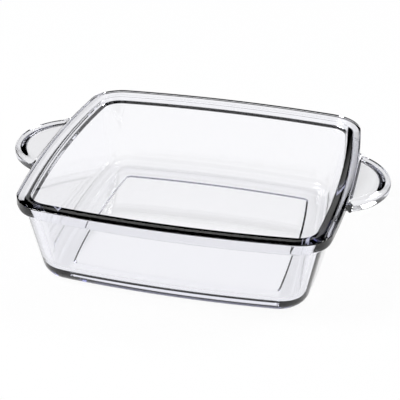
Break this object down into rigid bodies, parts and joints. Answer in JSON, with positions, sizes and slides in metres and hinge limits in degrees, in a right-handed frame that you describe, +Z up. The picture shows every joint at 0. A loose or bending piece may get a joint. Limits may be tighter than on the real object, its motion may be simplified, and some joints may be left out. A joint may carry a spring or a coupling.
{
  "type": "square glass baking dish",
  "caption": "Square clear-glass oven dish with a flared wall, rounded corners, a flat rim and solid tab handles on opposite sides, for baking and serving.",
  "frame": {"origin": "on the table, under the middle of the dish, at the foot ring's flat face", "axes": "+Z up out of the open top, +X along the line through the handles"},
  "size_m": [0.2674, 0.218, 0.061],
  "materials": {
    "clear_glass": "clear fire-polished pressed glass, faintly blue-green where it is thick"
  },
  "bodies": {
    "root": {"foot_ring": "clear_glass", "base": "clear_glass", "side_wall": "clear_glass", "rim": "clear_glass", "handle_left": "clear_glass", "handle_right": "clear_glass"}
  },
  "joints": []
}
